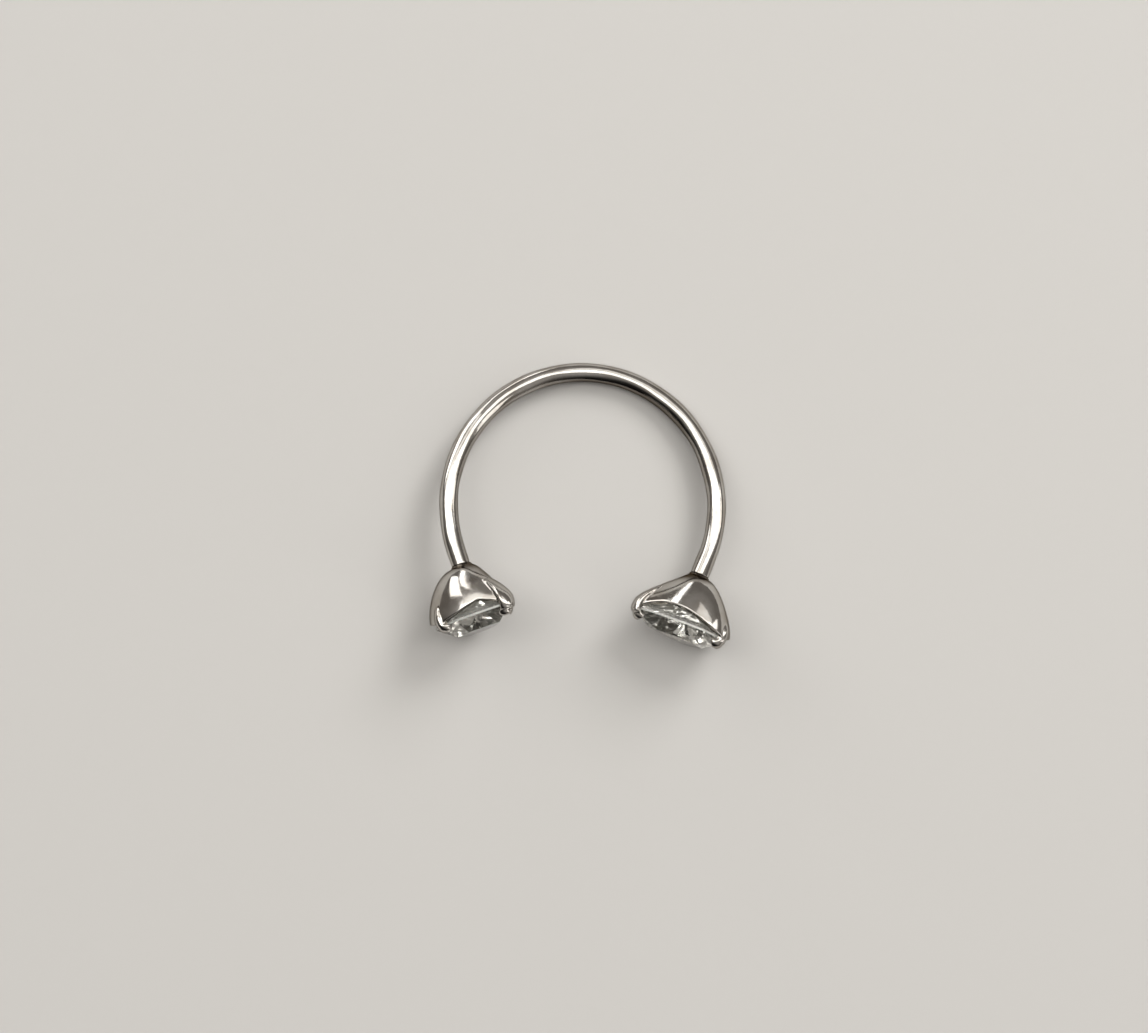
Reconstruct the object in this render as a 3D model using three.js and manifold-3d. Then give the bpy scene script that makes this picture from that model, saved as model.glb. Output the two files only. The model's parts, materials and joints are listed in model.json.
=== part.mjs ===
// Horseshoe nose ring: a round-wire arc, open at the bottom, with a claw-set pear-cut stone on each tip.
//
// Lengths are in millimetres and angles in degrees. The ring is first drawn flat: X to the right, Y
// towards the top of the arc and Z square to the wire's plane, with the arc's centre at the origin.
// At the end it is laid down: the arc's top and the two settings touch the ground, and the origin is
// the middle of the footprint.

import * as THREE from 'three';
import { mergeVertices } from 'three/addons/utils/BufferGeometryUtils.js';
import Module from 'manifold-3d';

const wasm = await Module();
wasm.setup();

// ---------------------------------------------------------------- driving dimensions

// Wire
const wireDiameter = 0.8;
const insideDiameter = 10.0;
const arcTallness = 1.008;
const rightArcEnd = -22.3; // where the right leg stops curving, measured from +X
const leftArcEnd = 197.6; // where the left leg stops curving
const rightStraight = 0.82; // straight end of the right leg
const leftStraight = 0.78; // straight end of the left leg
const wireSides = 16;
const wireSteps = 80;

// Hidden post at each tip, and the hole that takes it
const postRadius = 0.26;
const postLength = 0.8;
const holeClearance = 0.03;
const shoulderGap = 0.02; // between the wire's end and the setting's neck

// Setting: a pear-shaped cup on the leg's axis. Heights run from the neck towards the stone.
const cupHalfLength = 2.12;
const cupHalfWidth = 1.49;
const cupTipBluntness = 0.12;
const cupHeight = 2.3;
const neckRadius = 0.42;
const neckHeight = 0.08;
const wallThickness = 0.3;
const cavityFloor = 1.15;
const sideFlare = 0.49; // the smaller the flare, the rounder the wall
const tipFlare = 0.6; // added towards the pear's point
const backFlare = 0.46; // added towards its round end
const cupSides = 40;
const cupLevels = 9;
const cavityLevels = 4;

// Rim: it rises to the foot of each claw and dips between them
const rimLow = 1.58;
const rimReach = 70; // degrees from a claw over which the rim falls

// Claws: a broad one caps the pear's point and two stand on its round end. Each ends in a bead that leans in
// over the stone. `foot` is the rim's height at the claw, `reach` how far below it the finger starts, `top`
// the height of the bead's middle, `lean` how far the bead stands inside the cup's outer wall, and `proud`
// how far the finger stands out of that wall.
const claws = [
  { turn: 0, foot: 2.26, reach: 1.3, top: 2.34, width: 0.38, bead: 0.33, lean: 0.46, proud: 0.06 },
  { turn: 111, foot: 2.05, reach: 0.8, top: 2.18, width: 0.22, bead: 0.31, lean: 0.28, proud: 0.09 },
  { turn: -147, foot: 2.12, reach: 0.8, top: 2.34, width: 0.22, bead: 0.31, lean: 0.32, proud: 0.09 },
];
const clawDepth = 0.2;
const clawSides = 12;

// Stone
const stoneHalfLength = 1.96;
const stoneHalfWidth = 1.28;
const stoneTipBluntness = 0.12;
const girdleHeight = 2.11; // lower edge of the girdle, above the neck
const girdleThickness = 0.08;
const crownHeight = 0.53;
const pavilionDepth = 0.95;
const tableShare = 0.58;
const stoneGap = 0.025;

// How far each pear is turned about its leg: from the plane of the wire towards +Z
const leftTurn = 50;
const rightTurn = 176;

// ---------------------------------------------------------------- helpers

const wireRadius = wireDiameter / 2;
const arcRadius = insideDiameter / 2 + wireRadius;
const radians = THREE.MathUtils.degToRad;

// A closed three.js geometry as a solid for cutting and joining.
function toSolid(geometry) {
  const bare = geometry.clone();
  bare.deleteAttribute('normal');
  bare.deleteAttribute('uv');
  const merged = mergeVertices(bare, 1e-5);
  return new wasm.Manifold(new wasm.Mesh({
    numProp: 3,
    vertProperties: new Float32Array(merged.attributes.position.array),
    triVerts: new Uint32Array(merged.index.array),
  }));
}

// A solid back as a three.js geometry.
function toGeometry(solid) {
  const mesh = solid.getMesh();
  const geometry = new THREE.BufferGeometry();
  geometry.setAttribute('position', new THREE.BufferAttribute(mesh.vertProperties, 3));
  geometry.setIndex(new THREE.BufferAttribute(mesh.triVerts, 1));
  geometry.computeVertexNormals();
  return geometry;
}

// A closed skin over rings of points. Each ring runs anticlockwise as seen from the last ring's side.
function skin(rings) {
  const sides = rings[0].length;
  const points = rings.flat();
  const faces = [];
  for (let level = 0; level + 1 < rings.length; level++) {
    for (let side = 0; side < sides; side++) {
      const next = (side + 1) % sides;
      const low = level * sides;
      const high = low + sides;
      faces.push(low + side, low + next, high + next);
      faces.push(low + side, high + next, high + side);
    }
  }
  const middle = (ring) => ring.reduce((sum, p) => sum.add(p), new THREE.Vector3()).divideScalar(sides);
  const lastRing = (rings.length - 1) * sides;
  const bottom = points.push(middle(rings[0])) - 1;
  const top = points.push(middle(rings.at(-1))) - 1;
  for (let side = 0; side < sides; side++) {
    const next = (side + 1) % sides;
    faces.push(bottom, next, side);
    faces.push(top, lastRing + side, lastRing + next);
  }
  const geometry = new THREE.BufferGeometry().setFromPoints(points);
  geometry.setIndex(faces);
  return geometry;
}

// ---------------------------------------------------------------- pear outline

// A point on a pear whose tip points along +X. `turn` runs round it once, and bluntness rounds the tip.
const pearWidest = 0.7698;

function pear(turn, halfLength, halfWidth, bluntness) {
  const angle = radians(turn);
  const narrowing = Math.hypot(Math.sin(angle / 2), bluntness);
  const fullness = Math.sqrt(1 + bluntness * bluntness);
  return new THREE.Vector2(
    halfLength * Math.cos(angle),
    (halfWidth / pearWidest) * Math.sin(angle) * (narrowing / fullness),
  );
}

// Share of the cup's full spread at a height: round across the pear, with a straight flare to its point
// and a narrow straight flare at its round end.
function cupSpread(share, turn) {
  const along = Math.cos(radians(turn));
  const straighter = along > 0 ? tipFlare * along ** 1.5 : backFlare * along ** 6;
  return Math.sin((share * Math.PI) / 2) ** (sideFlare + straighter);
}

// A point on the cup's outer wall.
function cupPoint(turn, height, inset = 0) {
  const share = THREE.MathUtils.clamp((height - neckHeight) / (cupHeight - neckHeight), 0, 1);
  const rim = pear(turn, cupHalfLength - inset, cupHalfWidth - inset, cupTipBluntness);
  const round = new THREE.Vector2(1, 0).rotateAround(new THREE.Vector2(), Math.atan2(rim.y, rim.x));
  const neck = round.multiplyScalar(Math.max(neckRadius - inset, 0.05));
  const flat = neck.lerp(rim, cupSpread(share, turn));
  return new THREE.Vector3(flat.x, flat.y, height);
}

// Height of the rim at a turn round the pear.
function rimHeight(turn) {
  const rises = claws.map((claw) => {
    const away = Math.abs(((turn - claw.turn + 540) % 360) - 180);
    return (claw.foot - rimLow) * (1 - THREE.MathUtils.smoothstep(away, 0, rimReach));
  });
  return rimLow + Math.max(...rises);
}

function cupRing(heightAt, inset = 0) {
  return Array.from({ length: cupSides }, (_, i) => {
    const turn = (i * 360) / cupSides;
    return cupPoint(turn, heightAt(turn), inset);
  });
}

// ---------------------------------------------------------------- setting

function cupBody() {
  const rings = [cupRing(() => 0)];
  for (let level = 0; level <= cupLevels; level++) {
    const share = (level / cupLevels) ** 1.3;
    rings.push(cupRing((turn) => THREE.MathUtils.lerp(neckHeight, rimHeight(turn), share)));
  }
  return toSolid(skin(rings));
}

function cupCavity() {
  const levels = Array.from({ length: cavityLevels + 1 }, (_, i) =>
    THREE.MathUtils.lerp(cavityFloor, cupHeight, i / cavityLevels));
  return toSolid(skin([...levels, cupHeight + 1].map((height) => cupRing(() => height, wallThickness))));
}

// A claw: a finger that stands proud of the cup's wall and swells to a bead over the stone's edge.
function claw({ turn, foot, reach, top, width, bead, lean, proud }) {
  const depth = clawDepth;
  const stations = [
    { height: foot - reach, across: width * 0.6, out: depth * 0.6, inset: depth * 0.7 },
    { height: foot - reach * 0.4, across: width, out: depth, inset: depth - proud },
    {
      height: (foot + top) / 2,
      across: (width + bead) / 2,
      out: (depth + bead) / 2,
      inset: (depth - proud + lean) / 2,
    },
    { height: top, across: bead, out: bead, inset: lean },
    { height: top + bead * 0.5, across: bead * 0.87, out: bead * 0.87, inset: lean + 0.02 },
    { height: top + bead * 0.85, across: bead * 0.5, out: bead * 0.5, inset: lean + 0.04 },
  ];
  const rings = stations.map((station) => {
    const wall = cupPoint(turn, Math.min(station.height, cupHeight)).setZ(0);
    const outward = wall.clone().normalize();
    const across = new THREE.Vector3(0, 0, 1).cross(outward);
    const centre = wall.addScaledVector(outward, -station.inset).setZ(station.height);
    return Array.from({ length: clawSides }, (_, i) => {
      const angle = (i * 2 * Math.PI) / clawSides;
      return centre.clone()
        .addScaledVector(outward, station.out * Math.cos(angle))
        .addScaledVector(across, station.across * Math.sin(angle));
    });
  });
  return toSolid(skin(rings));
}

function settingGeometry() {
  const hole = new THREE.CylinderGeometry(
    postRadius + holeClearance, postRadius + holeClearance, 2 * (postLength + holeClearance), 16);
  hole.rotateX(Math.PI / 2);
  let solid = cupBody();
  for (const shape of claws) {
    solid = solid.add(claw(shape));
  }
  return toGeometry(solid
    .subtract(cupCavity())
    .subtract(toSolid(stoneGeometry(stoneGap)))
    .subtract(toSolid(hole)));
}

// ---------------------------------------------------------------- stone

// A pear brilliant. `grow` makes it larger all over, for the seat that is cut to fit it.
function stoneGeometry(grow = 0) {
  const ring = (count, offset, share, height) => Array.from({ length: count }, (_, i) => {
    const turn = ((i + offset) * 360) / count;
    const edge = pear(turn, stoneHalfLength * share + grow, stoneHalfWidth * share + grow, stoneTipBluntness);
    return new THREE.Vector3(edge.x, edge.y, height);
  });
  const mains = 8;
  const girdleTop = girdleHeight + girdleThickness;
  const table = ring(mains, 0, tableShare, girdleTop + crownHeight + grow);
  const breaks = ring(mains, 0.5, (1 + tableShare) / 2, girdleTop + crownHeight * 0.52 + grow);
  const upper = ring(2 * mains, 0, 1, girdleTop + grow * 0.5);
  const lower = ring(2 * mains, 0, 1, girdleHeight - grow * 0.5);
  const halves = ring(mains, 0.5, 0.42, girdleHeight - pavilionDepth * 0.62 - grow);
  const keel = new THREE.Vector3(0, 0, girdleHeight - pavilionDepth - grow);
  const heart = new THREE.Vector3(0, 0, girdleTop + crownHeight + grow);
  const corners = [];
  const face = (a, b, c) => corners.push(a, b, c);
  for (let i = 0; i < mains; i++) {
    const next = (i + 1) % mains;
    const here = 2 * i;
    const middle = 2 * i + 1;
    const after = (2 * i + 2) % (2 * mains);
    face(heart, table[i], table[next]);
    face(table[i], breaks[i], table[next]);
    face(table[i], upper[here], breaks[i]);
    face(breaks[i], upper[here], upper[middle]);
    face(breaks[i], upper[middle], upper[after]);
    face(table[next], breaks[i], upper[after]);
    for (const [from, to] of [[here, middle], [middle, after]]) {
      face(upper[from], lower[from], lower[to]);
      face(upper[from], lower[to], upper[to]);
      face(lower[from], halves[i], lower[to]);
    }
    face(lower[here], keel, halves[i]);
    face(lower[after], halves[i], keel);
  }
  return mergeVertices(new THREE.BufferGeometry().setFromPoints(corners), 1e-5);
}

// ---------------------------------------------------------------- wire

// The bar's middle line: a straight left end, the arc over the top, and a straight right end.
class HorseshoeLine extends THREE.Curve {
  constructor() {
    super();
    this.sweep = radians(leftArcEnd - rightArcEnd);
    this.arcLength = this.sweep * arcRadius;
    this.total = leftStraight + this.arcLength + rightStraight;
  }

  getPoint(t, target = new THREE.Vector3()) {
    const walked = t * this.total - leftStraight;
    const onArc = THREE.MathUtils.clamp(walked, 0, this.arcLength);
    const angle = radians(leftArcEnd) - onArc / arcRadius;
    const past = walked - onArc;
    const onward = new THREE.Vector3(Math.sin(angle), -arcTallness * Math.cos(angle), 0).normalize();
    return target
      .set(arcRadius * Math.cos(angle), arcTallness * arcRadius * Math.sin(angle), 0)
      .addScaledVector(onward, past);
  }
}

const line = new HorseshoeLine();

// Each leg's tip and the direction in which the leg leaves the arc.
function legEnd(t) {
  const tip = line.getPoint(t);
  const inside = line.getPoint(t === 0 ? 0.01 : 0.99);
  return { tip, axis: tip.clone().sub(inside).normalize() };
}

const leftLeg = legEnd(0);
const rightLeg = legEnd(1);

function barGeometry() {
  const section = new THREE.Shape().absarc(0, 0, wireRadius, 0, 2 * Math.PI);
  const wire = new THREE.ExtrudeGeometry(section, {
    steps: wireSteps,
    curveSegments: wireSides / 2,
    extrudePath: line,
  });
  let solid = toSolid(wire);
  const overlap = 0.2;
  for (const { tip, axis } of [leftLeg, rightLeg]) {
    const post = new THREE.CylinderGeometry(postRadius, postRadius, postLength + overlap, 16);
    post.applyQuaternion(new THREE.Quaternion().setFromUnitVectors(new THREE.Vector3(0, 1, 0), axis));
    const middle = tip.clone().addScaledVector(axis, (postLength - overlap) / 2);
    post.translate(middle.x, middle.y, middle.z);
    solid = solid.add(toSolid(post));
  }
  return toGeometry(solid);
}

// ---------------------------------------------------------------- assembly

const steel = new THREE.MeshStandardMaterial({ color: 0xb9b6b0, metalness: 1.0, roughness: 0.14 });
const crystal = new THREE.MeshStandardMaterial({ color: 0xdfe3e2, metalness: 0.0, roughness: 0.04 });

function part(name, geometry, material) {
  const mesh = new THREE.Mesh(geometry, material);
  mesh.name = name;
  return mesh;
}

// The setting and its stone on one leg, with the pear's tip turned about the leg's axis.
function end(side, { tip, axis }, turn) {
  const right = new THREE.Vector3(-axis.y, axis.x, 0);
  const up = new THREE.Vector3(0, 0, 1);
  const point = right.multiplyScalar(Math.cos(radians(turn))).addScaledVector(up, Math.sin(radians(turn)));
  const flank = axis.clone().cross(point);
  const group = new THREE.Group();
  group.add(part(`${side}_setting`, settingGeometry(), steel));
  group.add(part(`${side}_stone`, stoneGeometry(), crystal));
  group.quaternion.setFromRotationMatrix(new THREE.Matrix4().makeBasis(point, flank, axis));
  group.position.copy(tip).addScaledVector(axis, shoulderGap);
  return group;
}

const ring = new THREE.Group();
ring.add(part('horseshoe_bar', barGeometry(), steel));
ring.add(end('left', leftLeg, leftTurn));
ring.add(end('right', rightLeg, rightTurn));

// ---------------------------------------------------------------- laid on the ground

// The corners of one mesh in the ring's flat drawing.
function corners(mesh) {
  mesh.updateWorldMatrix(true, false);
  const position = mesh.geometry.attributes.position;
  return Array.from({ length: position.count }, (_, i) =>
    new THREE.Vector3().fromBufferAttribute(position, i).applyMatrix4(mesh.matrixWorld));
}

function lowest(points, up) {
  return points.reduce((low, p) => (p.dot(up) < low.dot(up) ? p : low));
}

// The ground's normal is the one whose plane touches the bar, the left end and the right end at once.
function groundNormal(touching) {
  let up = new THREE.Vector3(0, 0, 1);
  for (let round = 0; round < 30; round++) {
    const [bar, left, right] = touching.map((points) => lowest(points, up));
    up = right.clone().sub(bar).cross(left.clone().sub(bar)).normalize();
    if (up.z < 0) {
      up.negate();
    }
  }
  return up;
}

const named = (name) => corners(ring.getObjectByName(name));
const up = groundNormal([
  named('horseshoe_bar').filter((p) => p.y > 0),
  named('left_setting'),
  named('right_setting'),
]);
ring.quaternion.setFromUnitVectors(up, new THREE.Vector3(0, 0, 1));
const box = new THREE.Box3().setFromObject(ring, true);
ring.position.set(-(box.min.x + box.max.x) / 2, -(box.min.y + box.max.y) / 2, -box.min.z);

const noseRing = new THREE.Group();
noseRing.add(ring);

export default noseRing;
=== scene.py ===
"""Looks of the horseshoe nose ring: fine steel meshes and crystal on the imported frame, in a plain studio.

The steel is drawn in millimetres, from the same dimensions as the CAD solids, and placed in metres by the
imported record: its two table mounts say where each end sits and which way its leg points. The stones are the
CAD solids themselves.
"""

import json
import math

import bpy
from mathutils import Matrix, Vector, noise


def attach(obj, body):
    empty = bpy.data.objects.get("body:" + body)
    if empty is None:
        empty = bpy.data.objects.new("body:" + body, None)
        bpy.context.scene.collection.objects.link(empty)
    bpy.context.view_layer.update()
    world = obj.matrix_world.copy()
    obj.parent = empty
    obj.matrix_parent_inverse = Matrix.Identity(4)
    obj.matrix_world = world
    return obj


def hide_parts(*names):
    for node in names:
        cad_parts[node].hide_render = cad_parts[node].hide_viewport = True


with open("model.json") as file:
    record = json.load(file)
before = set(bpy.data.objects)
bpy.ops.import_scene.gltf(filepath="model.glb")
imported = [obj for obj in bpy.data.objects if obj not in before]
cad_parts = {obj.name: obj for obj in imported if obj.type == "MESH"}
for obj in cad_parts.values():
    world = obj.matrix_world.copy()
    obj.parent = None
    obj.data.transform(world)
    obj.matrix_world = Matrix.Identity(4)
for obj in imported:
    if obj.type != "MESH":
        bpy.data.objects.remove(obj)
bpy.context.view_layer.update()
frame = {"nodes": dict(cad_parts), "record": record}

MM = 0.001

# ---------------------------------------------------------------- driving dimensions, in millimetres

# Wire
WIRE_RADIUS = 0.4
ARC_RADIUS = 5.4
ARC_TALLNESS = 1.008
RIGHT_ARC_END = -22.3  # degrees
LEFT_ARC_END = 197.6
RIGHT_STRAIGHT = 0.82
LEFT_STRAIGHT = 0.78
WIRE_SIDES = 48
WIRE_STEPS = 560
WIRE_SHOULDER = 0.03  # chamfer of each tip's edge
WIRE_DENT = 0.048  # depth of the slight flats that bending and polishing leave
WIRE_DENTS_PER_MM = 0.75  # how closely they follow each other along the wire

# Hidden post and its hole
POST_RADIUS = 0.26
POST_LENGTH = 0.8
HOLE_CLEARANCE = 0.03
SHOULDER_GAP = 0.02

# Setting
CUP_HALF_LENGTH = 2.12
CUP_HALF_WIDTH = 1.49
CUP_TIP_BLUNTNESS = 0.12
CUP_HEIGHT = 2.3
NECK_RADIUS = 0.42
NECK_HEIGHT = 0.08
WALL = 0.3
CAVITY_FLOOR = 1.15
SIDE_FLARE = 0.49  # the smaller the flare, the rounder the wall
TIP_FLARE = 0.6
BACK_FLARE = 0.46
RIM_LOW = 1.58
RIM_REACH = 70  # degrees
CUP_SIDES = 160
CUP_LEVELS = 44
CAVITY_LEVELS = 12

# Claws: (turn in degrees, foot, reach, top, width, bead, lean, proud). The foot is the rim's height at the
# claw, reach how far below it the finger starts, top the height of the bead's middle, width and bead their
# half widths, lean how far the bead lies inside the wall and proud how far the finger stands out of it.
CLAWS = [
    (0, 2.26, 1.3, 2.34, 0.38, 0.33, 0.46, 0.06),
    (111, 2.05, 0.8, 2.18, 0.22, 0.31, 0.28, 0.09),
    (-147, 2.12, 0.8, 2.34, 0.22, 0.31, 0.32, 0.09),
]
CLAW_DEPTH = 0.2
CLAW_SIDES = 32
CLAW_STEPS = 30

# Stone, and how much larger than it its seat is
STONE_HALF_LENGTH = 1.96
STONE_HALF_WIDTH = 1.28
STONE_TIP_BLUNTNESS = 0.12
STONE_MAINS = 8
GIRDLE_HEIGHT = 2.11
GIRDLE_THICKNESS = 0.08
CROWN_HEIGHT = 0.53
TABLE_SHARE = 0.58
TABLE_HEIGHT = GIRDLE_HEIGHT + GIRDLE_THICKNESS + CROWN_HEIGHT
SEAT_SCALE = 1.015

# How each pear is turned about its leg, in degrees
TURNS = {"left": 50, "right": 176}

# Fineness of the cast and polished metal
VOXEL = 0.026
POLISH_PASSES = 12

# ---------------------------------------------------------------- driving looks

# Steel, from tarnished to bright, and its roughness from polished to smeared
STEEL_TONES = [(0.45, 0.42, 0.385), (0.55, 0.53, 0.50), (0.60, 0.58, 0.55)]
STEEL_EDGE = (0.30, 0.28, 0.26)
STEEL_ROUGHNESS = (0.07, 0.16)

# Share of the steel's colour lost to painted shade on the inside of the ring, and to painted shade round a
# neck
INSIDE_SHADE_LOSS = (0.68, 0.70, 0.72)
INSIDE_SHADE_ELSEWHERE = (0.3, 0.3, 0.3)  # share of that painted shade round the rest of the inside
INSIDE_SHADE_AZIMUTH = 63  # degrees from the middle of the ring to where the painted shade is darkest
NECK_SHADE_LOSS = (0.7, 0.73, 0.76)
NECK_SHADE_FADE = {"left": (0.5, 0.85), "right": (0.72, 1.0)}  # millimetres over which it fades out

# Crystal: below and above the girdle, which is frosted; the crown's darker colour is painted shade
PAVILION_TINT = (0.97, 0.97, 0.93)
CROWN_PAINTED_SHADE = (0.44, 0.43, 0.40)
PAVILION_CLEARNESS = 0.88
CROWN_CLEARNESS = 0.96
CRYSTAL_IOR = 2.1
CRYSTAL_METALLIC = 0.1
CRYSTAL_ROUGHNESS = 0.04
GIRDLE_ROUGHNESS = 0.5

# Studio
FLOOR_COLOUR = (0.50, 0.49, 0.475)
FLOOR_HALF_WIDTH = 0.4  # metres
LIGHT_DISTANCE = 0.5  # metres
ROOM_WALL = (0.20, 0.185, 0.17)
ROOM_CEILING = (0.40, 0.38, 0.36)
ROOM_DARK = (0.06, 0.06, 0.06)  # share of the room's light that is left in its darkest corner
ROOM_DARK_TOWARDS = (240, 75)  # azimuth and zenith of that corner, in degrees
SKY_GLOW = (1.0, 0.985, 0.95)
WINDOW_GLOW = (1.0, 0.99, 0.97)
EAST_GLOW = (1.0, 0.98, 0.95)

# Azimuth and zenith of the small lamps that only the stones gather, in degrees
LAMPS = [(165, 35), (195, 65), (220, 30), (250, 55), (275, 25), (300, 45), (330, 65)]

# Camera, straight above the ring
CAMERA_PLACE = (-0.2143, -0.4516, 131.5)
CAMERA_ROLL = -0.209  # degrees
CAMERA_LENS = 101.5
CAMERA_SENSOR = 36

# ---------------------------------------------------------------- meshes


def mesh_object(name, points, faces):
    """A mesh object in the scene from points and faces."""
    mesh = bpy.data.meshes.new(name)
    mesh.from_pydata([tuple(p) for p in points], [], faces)
    mesh.update()
    obj = bpy.data.objects.new(name, mesh)
    bpy.context.scene.collection.objects.link(obj)
    return obj


def skin(rings):
    """Points and faces of a closed skin over rings, anticlockwise as seen from the last ring's side."""
    sides = len(rings[0])
    points = [p for ring in rings for p in ring]
    faces = []
    for level in range(len(rings) - 1):
        low = level * sides
        high = low + sides
        for side in range(sides):
            after = (side + 1) % sides
            faces.append((low + side, low + after, high + after, high + side))
    last = (len(rings) - 1) * sides
    bottom = len(points)
    points.append(sum(rings[0], Vector()) / sides)
    points.append(sum(rings[-1], Vector()) / sides)
    for side in range(sides):
        after = (side + 1) % sides
        faces.append((bottom, after, side))
        faces.append((bottom + 1, last + side, last + after))
    return points, faces


def smoothstep(value, low, high):
    """A share that rises smoothly from 0 at `low` to 1 at `high`."""
    share = min(max((value - low) / (high - low), 0), 1)
    return share * share * (3 - 2 * share)


def mix(a, b, share):
    """The value that lies that share of the way from a to b."""
    return a + (b - a) * share


def curve_through(stations, place):
    """A smooth value between neighbouring stations; place runs from 0 to 1 along all of them."""
    spot = place * (len(stations) - 1)
    index = min(int(spot), len(stations) - 2)
    share = spot - index
    before = stations[max(index - 1, 0)]
    start = stations[index]
    stop = stations[index + 1]
    after = stations[min(index + 2, len(stations) - 1)]
    made = []
    for a, b, c, d in zip(before, start, stop, after):
        rise = (c - a) / 2
        fall = (d - b) / 2
        bend = 2 * b - 2 * c + rise + fall
        turn = -3 * b + 3 * c - 2 * rise - fall
        made.append(((bend * share + turn) * share + rise) * share + b)
    return made


def circle_turns(count):
    """Angles in radians that share a full turn evenly."""
    return [i * 2 * math.pi / count for i in range(count)]


def direction(azimuth, zenith):
    """A unit vector. Azimuth runs from +X towards +Y, and zenith from straight up, in degrees."""
    around = math.radians(azimuth)
    down = math.radians(zenith)
    return Vector((math.sin(down) * math.cos(around), math.sin(down) * math.sin(around), math.cos(down)))


# ---------------------------------------------------------------- pear-shaped cup

PEAR_WIDEST = 0.7698  # the most that sin(angle) * sin(angle / 2) comes to


def pear(turn, half_length, half_width, bluntness):
    """A point on a pear whose tip points along +X."""
    angle = math.radians(turn)
    narrowing = math.hypot(math.sin(angle / 2), bluntness) / math.sqrt(1 + bluntness**2)
    return Vector((
        half_length * math.cos(angle),
        half_width / PEAR_WIDEST * math.sin(angle) * narrowing,
        0,
    ))


def cup_point(turn, height, inset=0.0):
    """A point on the cup's outer wall, or that far inside it."""
    share = min(max((height - NECK_HEIGHT) / (CUP_HEIGHT - NECK_HEIGHT), 0), 1)
    rim = pear(turn, CUP_HALF_LENGTH - inset, CUP_HALF_WIDTH - inset, CUP_TIP_BLUNTNESS)
    neck = rim.normalized() * (NECK_RADIUS - inset)
    along = math.cos(math.radians(turn))
    straighter = TIP_FLARE * along**1.5 if along > 0 else BACK_FLARE * along**6
    flat = neck.lerp(rim, math.sin(share * math.pi / 2) ** (SIDE_FLARE + straighter))
    return Vector((flat.x, flat.y, height))


def rim_height(turn):
    """Height of the rim, which rises to each claw's foot and dips between them."""
    rise = 0
    for claw_turn, foot, *_ in CLAWS:
        away = abs((turn - claw_turn + 540) % 360 - 180)
        rise = max(rise, (foot - RIM_LOW) * (1 - smoothstep(away, 0, RIM_REACH)))
    return RIM_LOW + rise


def cup_ring(height_at, inset=0.0):
    """Points round the cup's wall, at a height that depends on the turn."""
    turns = [i * 360 / CUP_SIDES for i in range(CUP_SIDES)]
    return [cup_point(turn, height_at(turn), inset) for turn in turns]


def cup_body():
    """The cup without its hollow, with closer rings where it swells from the neck."""
    rings = [cup_ring(lambda turn: 0)]
    for level in range(CUP_LEVELS + 1):
        share = (level / CUP_LEVELS) ** 1.5
        rings.append(cup_ring(lambda turn: mix(NECK_HEIGHT, rim_height(turn), share)))
    return skin(rings)


def cup_cavity():
    """The hollow that leaves the cup its wall. It runs on past the rim."""
    heights = [mix(CAVITY_FLOOR, CUP_HEIGHT, i / CAVITY_LEVELS) for i in range(CAVITY_LEVELS + 1)]
    past_rim = CUP_HEIGHT + 1
    return skin([cup_ring(lambda turn: height, WALL) for height in [*heights, past_rim]])


def claw(turn, foot, reach, top, width, bead, lean, proud):
    """A finger that stands proud of the cup's wall and swells to a bead over the stone's edge."""
    depth = CLAW_DEPTH
    # Height, half width, half depth, and how far the finger's middle lies inside the wall
    stations = [
        (foot - reach, width * 0.6, depth * 0.6, depth * 0.7),
        (foot - reach * 0.4, width, depth, depth - proud),
        ((foot + top) / 2, (width + bead) / 2, (depth + bead) / 2, (depth - proud + lean) / 2),
        (top, bead, bead, lean),
        (top + bead * 0.5, bead * 0.87, bead * 0.87, lean + 0.02),
        (top + bead * 0.85, bead * 0.5, bead * 0.5, lean + 0.04),
    ]
    rings = []
    for step in range(CLAW_STEPS + 1):
        height, wide, out, inset = curve_through(stations, step / CLAW_STEPS)
        edge = cup_point(turn, min(height, CUP_HEIGHT))
        wall = Vector((edge.x, edge.y, 0))
        outward = wall.normalized()
        across = Vector((0, 0, 1)).cross(outward)
        centre = wall - outward * inset + Vector((0, 0, height))
        rings.append([
            centre + outward * (out * math.cos(a)) + across * (wide * math.sin(a))
            for a in circle_turns(CLAW_SIDES)
        ])
    return skin(rings)


def post_hole():
    """The blind hole for the bar's post. It starts well outside the neck."""
    radius = POST_RADIUS + HOLE_CLEARANCE
    depth = Vector((0, 0, POST_LENGTH + HOLE_CLEARANCE))
    ring = [Vector((radius * math.cos(a), radius * math.sin(a), 0)) for a in circle_turns(CLAW_SIDES)]
    return skin([[p - depth for p in ring], [p + depth for p in ring]])


# ---------------------------------------------------------------- places of the two ends

mounts = {mount["name"]: mount for mount in frame["record"]["mounts"]}
axes = {side: Vector(mounts[f"{side}_table"]["axis"]).normalized() for side in TURNS}
wire_normal = axes["right"].cross(axes["left"]).normalized()


def table_middle():
    """How far along the pear the middle of the stone's flat table lies from the leg's axis."""
    half_length = STONE_HALF_LENGTH * TABLE_SHARE
    half_width = STONE_HALF_WIDTH * TABLE_SHARE
    step = 360 / STONE_MAINS
    corners = [pear(i * step, half_length, half_width, STONE_TIP_BLUNTNESS) for i in range(STONE_MAINS)]
    area = 0
    moment = 0
    for a, b in zip(corners, corners[1:] + corners[:1]):
        slice_area = a.x * b.y - b.x * a.y
        area += slice_area
        moment += slice_area * (a.x + b.x) / 3
    return moment / area


def end_place(side):
    """The matrix from an end's own millimetres to the frame: X along the pear, Z along the leg."""
    axis = axes[side]
    turn = math.radians(TURNS[side])
    point = wire_normal.cross(axis).normalized() * math.cos(turn) + wire_normal * math.sin(turn)
    turned = Matrix((point, axis.cross(point), axis)).transposed().to_4x4()
    from_neck = (axis * TABLE_HEIGHT + point * table_middle()) * MM
    neck = Vector(mounts[f"{side}_table"]["pos_m"]) - from_neck
    return Matrix.Translation(neck) @ turned @ Matrix.Scale(MM, 4)


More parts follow.
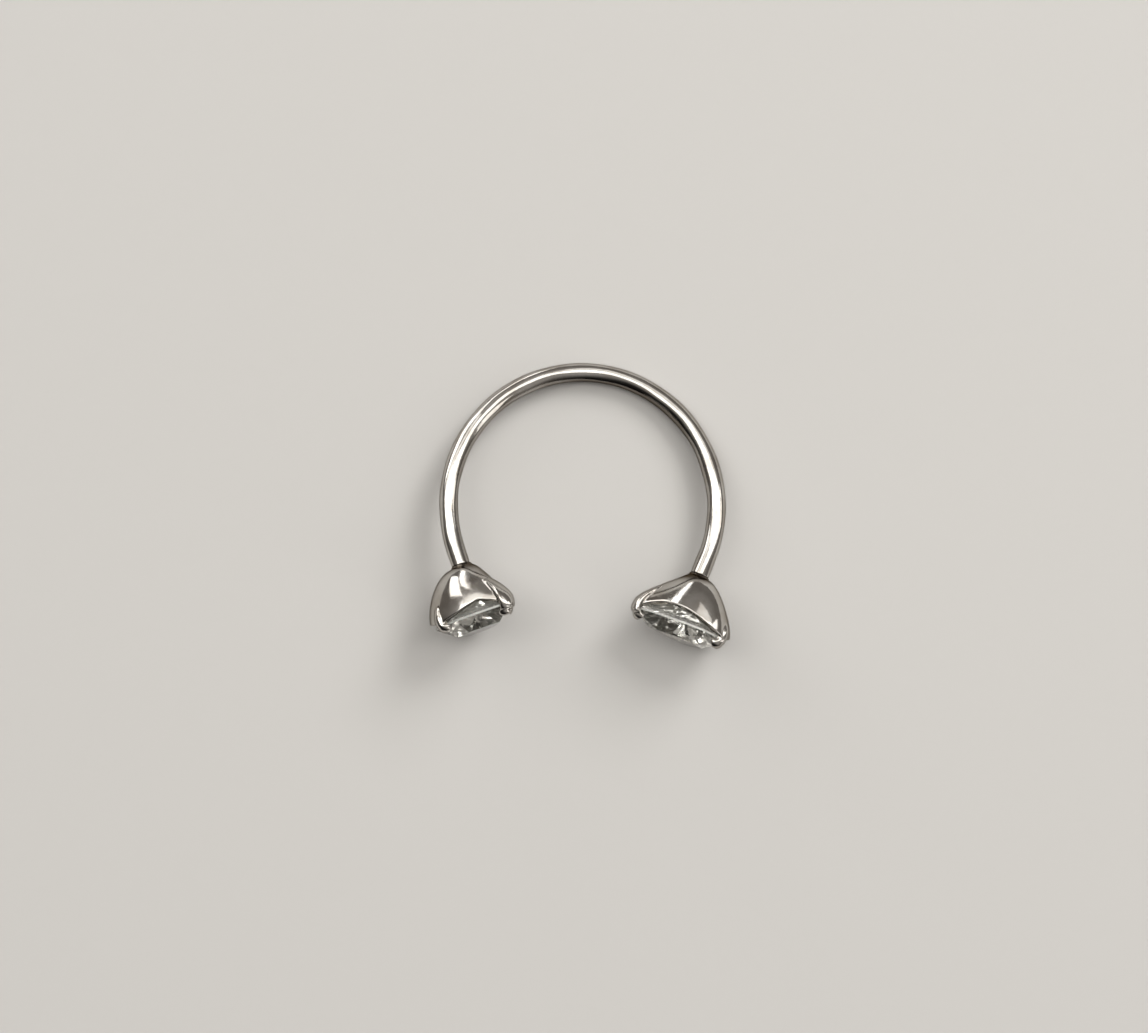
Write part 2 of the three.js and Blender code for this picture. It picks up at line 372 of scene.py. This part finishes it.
def seat_cutter(side):
    """The stone's own solid, a little larger, in the end's own millimetres."""
    stone = frame["nodes"][f"{side}_stone"].data
    to_end = end_place(side).inverted()
    points = [to_end @ vertex.co for vertex in stone.vertices]
    middle = sum(points, Vector()) / len(points)
    points = [middle + (p - middle) * SEAT_SCALE for p in points]
    return points, [tuple(face.vertices) for face in stone.polygons]


# ---------------------------------------------------------------- settings


def add_boolean(obj, other, operation):
    """Join another solid to this one, or cut it out."""
    modifier = obj.modifiers.new(operation.lower(), "BOOLEAN")
    modifier.operation = operation
    modifier.object = other
    modifier.solver = "EXACT"


def make_setting(side):
    """Cup and claws as one solid, cut for the stone and the post, with every edge polished round."""
    rough = mesh_object("rough", *cup_body())
    tools = []
    for shape in CLAWS:
        tools.append(mesh_object("claw", *claw(*shape)))
        add_boolean(rough, tools[-1], "UNION")
    for points, faces in (cup_cavity(), seat_cutter(side), post_hole()):
        tools.append(mesh_object("cutter", points, faces))
        add_boolean(rough, tools[-1], "DIFFERENCE")
    remesh = rough.modifiers.new("remesh", "REMESH")
    remesh.mode = "VOXEL"
    remesh.voxel_size = VOXEL
    polish = rough.modifiers.new("polish", "SMOOTH")
    polish.factor = 0.5
    polish.iterations = POLISH_PASSES
    depsgraph = bpy.context.evaluated_depsgraph_get()
    mesh = bpy.data.meshes.new_from_object(rough.evaluated_get(depsgraph))
    mesh.transform(end_place(side))
    mesh.name = f"{side}_setting_metal"
    for tool in [rough, *tools]:
        bpy.data.objects.remove(tool)
    setting = bpy.data.objects.new(f"{side}_setting_metal", mesh)
    bpy.context.scene.collection.objects.link(setting)
    mesh.shade_smooth()
    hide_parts(f"{side}_setting")
    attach(setting, "root")
    return setting


# ---------------------------------------------------------------- wire

SWEEP = math.radians(LEFT_ARC_END - RIGHT_ARC_END)
WIRE_LENGTH = LEFT_STRAIGHT + SWEEP * ARC_RADIUS + RIGHT_STRAIGHT


def wire_point(walked):
    """The middle of the wire and its direction, a distance along from the left tip."""
    on_arc = min(max(walked - LEFT_STRAIGHT, 0), SWEEP * ARC_RADIUS)
    angle = math.radians(LEFT_ARC_END) - on_arc / ARC_RADIUS
    onward = Vector((math.sin(angle), -ARC_TALLNESS * math.cos(angle), 0)).normalized()
    place = Vector((ARC_RADIUS * math.cos(angle), ARC_TALLNESS * ARC_RADIUS * math.sin(angle), 0))
    return place + onward * (walked - LEFT_STRAIGHT - on_arc), onward


def wire_place():
    """The matrix from the wire's flat drawing to the frame."""
    tip, onward = wire_point(0)
    drawn = Matrix((-onward, wire_point(WIRE_LENGTH)[1], Vector((0, 0, 1)))).transposed()
    laid = Matrix((axes["left"], axes["right"], wire_normal)).transposed()
    turned = (laid @ drawn.inverted()).to_quaternion().to_matrix().to_4x4()
    left_tip = end_place("left").translation - axes["left"] * (SHOULDER_GAP * MM)
    return Matrix.Translation(left_tip) @ turned @ Matrix.Scale(MM, 4) @ Matrix.Translation(-tip)


def wire_ring(walked, radius, dent_depth=0.0):
    """Points round the wire, a distance along from the left tip, with slight dents in its surface."""
    middle, onward = wire_point(walked)
    outward = Vector((-onward.y, onward.x, 0))
    ring = []
    for angle in circle_turns(WIRE_SIDES):
        spot = Vector((math.cos(angle), math.sin(angle), walked * WIRE_DENTS_PER_MM))
        dent = dent_depth * (0.5 + 0.5 * noise.noise(spot))
        away = outward * math.cos(angle) + Vector((0, 0, 1)) * math.sin(angle)
        ring.append(middle + away * (radius - dent))
    return ring


def make_bar():
    """The bent wire with a plain post at each tip."""
    tip_radius = WIRE_RADIUS - WIRE_SHOULDER
    rings = []
    for walked, radius in ((-POST_LENGTH, POST_RADIUS), (0, POST_RADIUS), (0, tip_radius)):
        rings.append(wire_ring(walked, radius))
    for step in range(WIRE_STEPS + 1):
        walked = mix(WIRE_SHOULDER, WIRE_LENGTH - WIRE_SHOULDER, step / WIRE_STEPS)
        rings.append(wire_ring(walked, WIRE_RADIUS, WIRE_DENT))
    for past, radius in ((0, tip_radius), (0, POST_RADIUS), (POST_LENGTH, POST_RADIUS)):
        rings.append(wire_ring(WIRE_LENGTH + past, radius))
    bar = mesh_object("horseshoe_bar_metal", *skin(rings))
    bar.data.transform(wire_place())
    bar.data.shade_smooth()
    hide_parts("horseshoe_bar")
    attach(bar, "root")
    return bar


# ---------------------------------------------------------------- materials


def new_material(name):
    """A material with nodes, its node tree and its shader."""
    material = bpy.data.materials.new(name)
    material.use_nodes = True
    return material, material.node_tree, material.node_tree.nodes["Principled BSDF"]


def noise_node(tree, blotches_per_mm, detail):
    """Noise in the frame's millimetres."""
    place = tree.nodes.new("ShaderNodeTexCoord")
    mapping = tree.nodes.new("ShaderNodeMapping")
    mapping.inputs["Scale"].default_value = (1 / MM, 1 / MM, 1 / MM)
    made = tree.nodes.new("ShaderNodeTexNoise")
    made.inputs["Scale"].default_value = blotches_per_mm
    made.inputs["Detail"].default_value = detail
    tree.links.new(place.outputs["Object"], mapping.inputs["Vector"])
    tree.links.new(mapping.outputs["Vector"], made.inputs["Vector"])
    return made.outputs["Fac"]


def ramp_node(tree, source, stops):
    """Colours that blend from stop to stop as the source socket's value rises."""
    ramp = tree.nodes.new("ShaderNodeValToRGB")
    elements = ramp.color_ramp.elements
    while len(elements) < len(stops):
        elements.new(0.5)
    for element, (position, colour) in zip(elements, stops):
        element.position = position
        element.color = (*colour, 1)
    tree.links.new(source, ramp.inputs["Fac"])
    return ramp.outputs["Color"]


def grey(level):
    """A grey, or one number in the form that a ramp takes."""
    return (level, level, level)


def vector_node(tree, operation, first, *others):
    """Vector maths on a socket and on other sockets or fixed vectors."""
    made = tree.nodes.new("ShaderNodeVectorMath")
    made.operation = operation
    tree.links.new(first, made.inputs[0])
    for index, other in enumerate(others, 1):
        if isinstance(other, bpy.types.NodeSocket):
            tree.links.new(other, made.inputs[index])
        else:
            made.inputs[index].default_value = other
    gives_number = operation in ("DOT_PRODUCT", "DISTANCE")
    return made.outputs["Value" if gives_number else "Vector"]


def number_node(tree, operation, first, second=0.0):
    """Maths on a socket and a fixed number."""
    made = tree.nodes.new("ShaderNodeMath")
    made.operation = operation
    made.inputs[1].default_value = second
    tree.links.new(first, made.inputs[0])
    return made.outputs["Value"]


def inside_painted_shade(tree):
    """Share of the bar's colour taken away as painted shade on the side that faces the middle of the ring."""
    spot = tree.nodes.new("ShaderNodeNewGeometry")
    flat = vector_node(tree, "MULTIPLY", spot.outputs["Position"], (-1, -1, 0))
    inward = vector_node(tree, "NORMALIZE", flat)
    facing = vector_node(tree, "DOT_PRODUCT", inward, spot.outputs["True Normal"])
    # Painted shade: the side facing the middle of the ring is darkened, in place of the dark reflections and
    # shade there
    loss = ramp_node(tree, facing, [(0.45, grey(0)), (0.75, INSIDE_SHADE_LOSS)])
    nearness = vector_node(tree, "DOT_PRODUCT", inward, direction(INSIDE_SHADE_AZIMUTH + 180, 90))
    strength = ramp_node(tree, nearness, [(0.72, INSIDE_SHADE_ELSEWHERE), (0.9, grey(1))])
    return vector_node(tree, "MULTIPLY", loss, strength)


def neck_painted_shade(tree, side):
    """Share of a setting's colour taken away as painted shade round its neck."""
    spot = tree.nodes.new("ShaderNodeNewGeometry")
    distance = vector_node(tree, "DISTANCE", spot.outputs["Position"], end_place(side).translation)
    fade_start, fade_end = NECK_SHADE_FADE[side]
    # Painted shade: darker close to the neck, fading out with distance from it
    return ramp_node(tree, number_node(tree, "MULTIPLY", distance, 1 / MM), [
        (fade_start, NECK_SHADE_LOSS),
        (fade_end, grey(0)),
    ])


def steel(name, side=None):
    """Polished steel with painted shade: round the neck for a setting, where a side is given, and otherwise
    on the inside of the bar.
    """
    material, tree, shader = new_material(name)
    shader.inputs["Metallic"].default_value = 1.0
    shader.inputs["Specular Tint"].default_value = (*STEEL_EDGE, 1)
    blotches = noise_node(tree, blotches_per_mm=0.9, detail=3)
    clean = ramp_node(tree, blotches, list(zip((0.35, 0.55, 0.7), STEEL_TONES)))
    # The loss is painted shade: round the neck for a setting, and on the inside of the ring for the bar
    loss = neck_painted_shade(tree, side) if side else inside_painted_shade(tree)
    kept = vector_node(tree, "MULTIPLY_ADD", loss, grey(-1), grey(1))
    tree.links.new(vector_node(tree, "MULTIPLY", clean, kept), shader.inputs["Base Color"])
    smears = tree.nodes.new("ShaderNodeMapRange")
    smears.inputs["From Min"].default_value = 0.3
    smears.inputs["From Max"].default_value = 0.7
    smears.inputs["To Min"].default_value, smears.inputs["To Max"].default_value = STEEL_ROUGHNESS
    tree.links.new(noise_node(tree, blotches_per_mm=2.5, detail=4), smears.inputs["Value"])
    tree.links.new(smears.outputs["Result"], shader.inputs["Roughness"])
    scratches = tree.nodes.new("ShaderNodeBump")
    scratches.inputs["Strength"].default_value = 0.25
    scratches.inputs["Distance"].default_value = 0.01 * MM
    tree.links.new(noise_node(tree, blotches_per_mm=5, detail=3), scratches.inputs["Height"])
    tree.links.new(scratches.outputs["Normal"], shader.inputs["Normal"])
    return material


def crystal(side):
    """Clear crystal with a frosted girdle, and painted shade that darkens the facets that face away from its
    setting.
    """
    material, tree, shader = new_material(f"{side}_crystal")
    spot = tree.nodes.new("ShaderNodeNewGeometry")
    facing = vector_node(tree, "DOT_PRODUCT", spot.outputs["True Normal"], axes[side])
    tilt = number_node(tree, "ABSOLUTE", facing)
    # Painted shade: the crown's facets get a darker colour than the pavilion's clear tint
    tint_and_painted_shade = ramp_node(tree, facing, [(0.0, PAVILION_TINT), (0.15, CROWN_PAINTED_SHADE)])
    clearness = ramp_node(tree, facing, [(0.0, grey(PAVILION_CLEARNESS)), (0.15, grey(CROWN_CLEARNESS))])
    roughness = ramp_node(tree, tilt, [(0.05, grey(GIRDLE_ROUGHNESS)), (0.1, grey(CRYSTAL_ROUGHNESS))])
    tree.links.new(tint_and_painted_shade, shader.inputs["Base Color"])
    tree.links.new(clearness, shader.inputs["Transmission Weight"])
    tree.links.new(roughness, shader.inputs["Roughness"])
    shader.inputs["Metallic"].default_value = CRYSTAL_METALLIC
    shader.inputs["IOR"].default_value = CRYSTAL_IOR
    return material


def pale_floor():
    """A matt, even surface."""
    material, _, shader = new_material("pale_floor")
    shader.inputs["Base Color"].default_value = (*FLOOR_COLOUR, 1)
    shader.inputs["Roughness"].default_value = 0.9
    shader.inputs["Specular IOR Level"].default_value = 0.2
    return material


# ---------------------------------------------------------------- studio


def area_light(name, azimuth, zenith, size, brightness, colour, roll=0):
    """A rectangular light aimed at the ring. Its size is in degrees as seen from there."""
    data = bpy.data.lights.new(name, "AREA")
    data.shape = "RECTANGLE"
    data.size, data.size_y = (2 * LIGHT_DISTANCE * math.tan(math.radians(width / 2)) for width in size)
    data.energy = brightness * math.pi * data.size * data.size_y
    data.color = colour
    light = bpy.data.objects.new(name, data)
    bpy.context.scene.collection.objects.link(light)
    aim = direction(azimuth, zenith)
    rolled = Matrix.Rotation(math.radians(roll), 3, "Z").to_quaternion()
    light.rotation_mode = "QUATERNION"
    light.rotation_quaternion = aim.to_track_quat("Z", "Y") @ rolled
    light.location = aim * LIGHT_DISTANCE
    return light


def make_floor():
    """A plain square that the ring lies on."""
    half = FLOOR_HALF_WIDTH
    corners = [(-half, -half, 0), (half, -half, 0), (half, half, 0), (-half, half, 0)]
    floor = mesh_object("floor", corners, [(0, 1, 2, 3)])
    floor.data.materials.append(pale_floor())


def make_world():
    """A dim room, paler overhead and darkest low down beyond the ring's open mouth."""
    world = bpy.data.worlds.new("studio")
    bpy.context.scene.world = world
    world.use_nodes = True
    tree = world.node_tree
    view = tree.nodes.new("ShaderNodeTexCoord").outputs["Generated"]
    upward = vector_node(tree, "DOT_PRODUCT", view, direction(0, 0))
    room = ramp_node(tree, upward, [(0.35, ROOM_WALL), (0.8, ROOM_CEILING)])
    cornerward = vector_node(tree, "DOT_PRODUCT", view, direction(*ROOM_DARK_TOWARDS))
    gloom = ramp_node(tree, cornerward, [(0.45, grey(1)), (0.85, ROOM_DARK)])
    tree.links.new(vector_node(tree, "MULTIPLY", room, gloom), tree.nodes["Background"].inputs["Color"])


def make_lights():
    """Skylight and windows that the steel mirrors, a key light for the shadows, and the stones' lamps."""
    area_light("overhead", 90, 11, (90, 22), 2.2, SKY_GLOW)
    area_light("west_sky", 143, 37, (34, 22), 1.3, SKY_GLOW)
    area_light("east_sky", 50, 35, (40, 24), 0.9, SKY_GLOW)
    area_light("window_left", 140, 68, (19, 31), 2.8, WINDOW_GLOW, roll=-45)
    area_light("window_right", 112, 74, (7, 45), 2.8, WINDOW_GLOW, roll=-36)
    area_light("east", 10, 58, (14, 22), 2.0, EAST_GLOW)
    area_light("southeast", 330, 60, (16, 40), 1.8, EAST_GLOW)
    key = area_light("key", 50, 55, (26, 26), 11.0, WINDOW_GLOW)
    key.visible_glossy = False
    for azimuth, zenith in LAMPS:
        lamp = area_light("lamp", azimuth, zenith, (11, 11), 13.0, WINDOW_GLOW)
        lamp.visible_glossy = False
        lamp.visible_diffuse = False


def make_camera():
    """A long lens straight above the ring."""
    data = bpy.data.cameras.new("camera")
    data.sensor_width = CAMERA_SENSOR
    data.lens = CAMERA_LENS
    data.clip_start = 1 * MM
    camera = bpy.data.objects.new("camera", data)
    bpy.context.scene.collection.objects.link(camera)
    camera.location = Vector(CAMERA_PLACE) * MM
    camera.rotation_euler = (0, 0, math.radians(CAMERA_ROLL))
    bpy.context.scene.camera = camera


# ---------------------------------------------------------------- everything

looks = [(make_bar(), steel("wire_steel"))]
for side in TURNS:
    looks.append((make_setting(side), steel(f"{side}_setting_steel", side)))
    looks.append((frame["nodes"][f"{side}_stone"], crystal(side)))
for piece, material in looks:
    piece.data.materials.clear()
    piece.data.materials.append(material)

make_floor()
make_world()
make_lights()
make_camera()
bpy.context.scene.view_settings.view_transform = "Standard"
bpy.context.scene.cycles.max_bounces = 20
bpy.context.scene.cycles.glossy_bounces = 12
bpy.context.scene.cycles.transmission_bounces = 16
